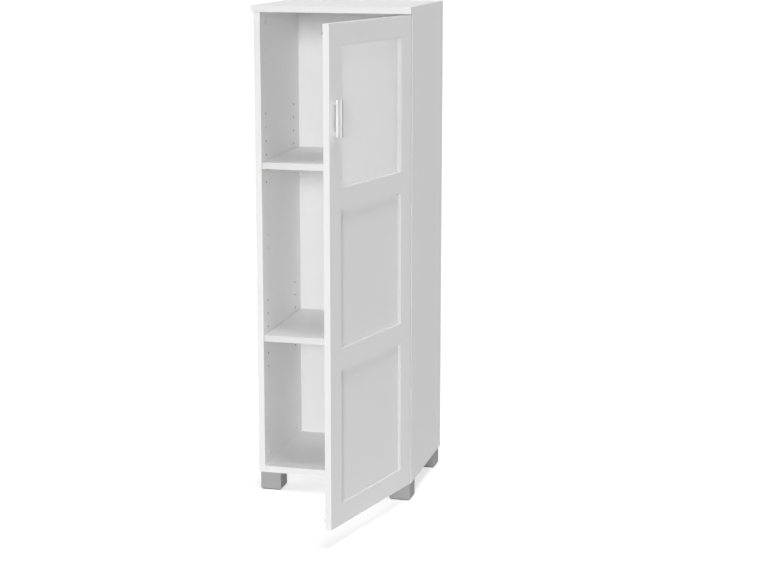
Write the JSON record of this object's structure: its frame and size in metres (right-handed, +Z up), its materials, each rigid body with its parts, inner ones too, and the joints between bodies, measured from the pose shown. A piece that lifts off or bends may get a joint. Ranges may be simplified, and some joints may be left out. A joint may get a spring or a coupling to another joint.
{
  "type": "tall bathroom cabinet",
  "caption": "Tall narrow white cabinet on block feet, its open framed door fitted with frosted glass above and flat panels below, with loose shelves inside.",
  "frame": {"origin": "on the floor under the middle of the carcass, halfway across and halfway from the sides' front edges to their rear edges", "axes": "+Z up, +Y to the back, +X towards the hinge side, so the open front faces -Y"},
  "size_m": [0.372, 0.6786, 1.145],
  "materials": {
    "white_board": "white melamine facing, satin",
    "white_hardboard": "white lacquered hardboard, matt",
    "white_lacquer": "white lacquer on fibreboard, satin",
    "frosted_glass": "frosted by acid etching",
    "satin_metal": "satin, die cast",
    "silver_plastic": "silver-grey, fine grain",
    "nickel_steel": "nickel plated",
    "zinc_steel": "zinc plated",
    "zinc_casting": "bare zinc casting",
    "white_plastic": "white moulded",
    "dark_plastic": "dark moulded",
    "clear_rubber": "soft clear",
    "beech": "bare beech"
  },
  "bodies": {
    "carcass": {"back_panel": "white_hardboard", "bottom_board": "white_board", "cam_bolts": "zinc_steel", "cam_covers": "white_plastic", "cam_fittings": "zinc_casting", "carcass_dowels": "beech", "foot_left_front": "silver_plastic", "foot_left_rear": "silver_plastic", "foot_right_front": "silver_plastic", "foot_right_rear": "silver_plastic", "foot_screws": "zinc_steel", "glide_left_front": "dark_plastic", "glide_left_rear": "dark_plastic", "glide_right_front": "dark_plastic", "glide_right_rear": "dark_plastic", "hinge_arm_lower": "nickel_steel", "hinge_arm_middle": "nickel_steel", "hinge_arm_screws": "zinc_steel", "hinge_arm_upper": "nickel_steel", "hinge_plate_lower": "nickel_steel", "hinge_plate_middle": "nickel_steel", "hinge_plate_screws": "zinc_steel", "hinge_plate_upper": "nickel_steel", "left_side": "white_board", "lower_shelf_pins": "nickel_steel", "right_side": "white_board", "top_board": "white_board", "upper_shelf_pins": "nickel_steel"},
    "door": {"free_stile": "white_lacquer", "hinge_stile": "white_lacquer", "bottom_rail": "white_lacquer", "lower_middle_rail": "white_lacquer", "upper_middle_rail": "white_lacquer", "top_rail": "white_lacquer", "door_dowels": "beech", "lower_door_panel": "white_lacquer", "upper_door_panel": "white_lacquer", "glass_pane": "frosted_glass", "glass_retainers": "white_plastic", "glass_retainer_screws": "zinc_steel", "door_bumpers": "clear_rubber", "handle": "satin_metal", "handle_screws": "zinc_steel", "hinge_cup_lower": "nickel_steel", "hinge_cup_middle": "nickel_steel", "hinge_cup_upper": "nickel_steel", "hinge_cup_screws": "zinc_steel", "hinge_pivot_pins": "nickel_steel"},
    "upper_shelf_board": {"upper_shelf": "white_board"},
    "lower_shelf_board": {"lower_shelf": "white_board"}
  },
  "joints": [
    {"name": "door_hinge", "type": "hinge", "parent": "carcass", "child": "door", "pos_m": [0.1765, -0.1698, 0.5945], "axis": [0, 0, 1], "range_deg": [-76, 19]},
    {"name": "upper_shelf_lift", "type": "slide", "parent": "carcass", "child": "upper_shelf_board", "axis": [0, 0, 1], "range_m": [0, 0.02]},
    {"name": "lower_shelf_lift", "type": "slide", "parent": "carcass", "child": "lower_shelf_board", "axis": [0, 0, 1], "range_m": [0, 0.02]}
  ]
}
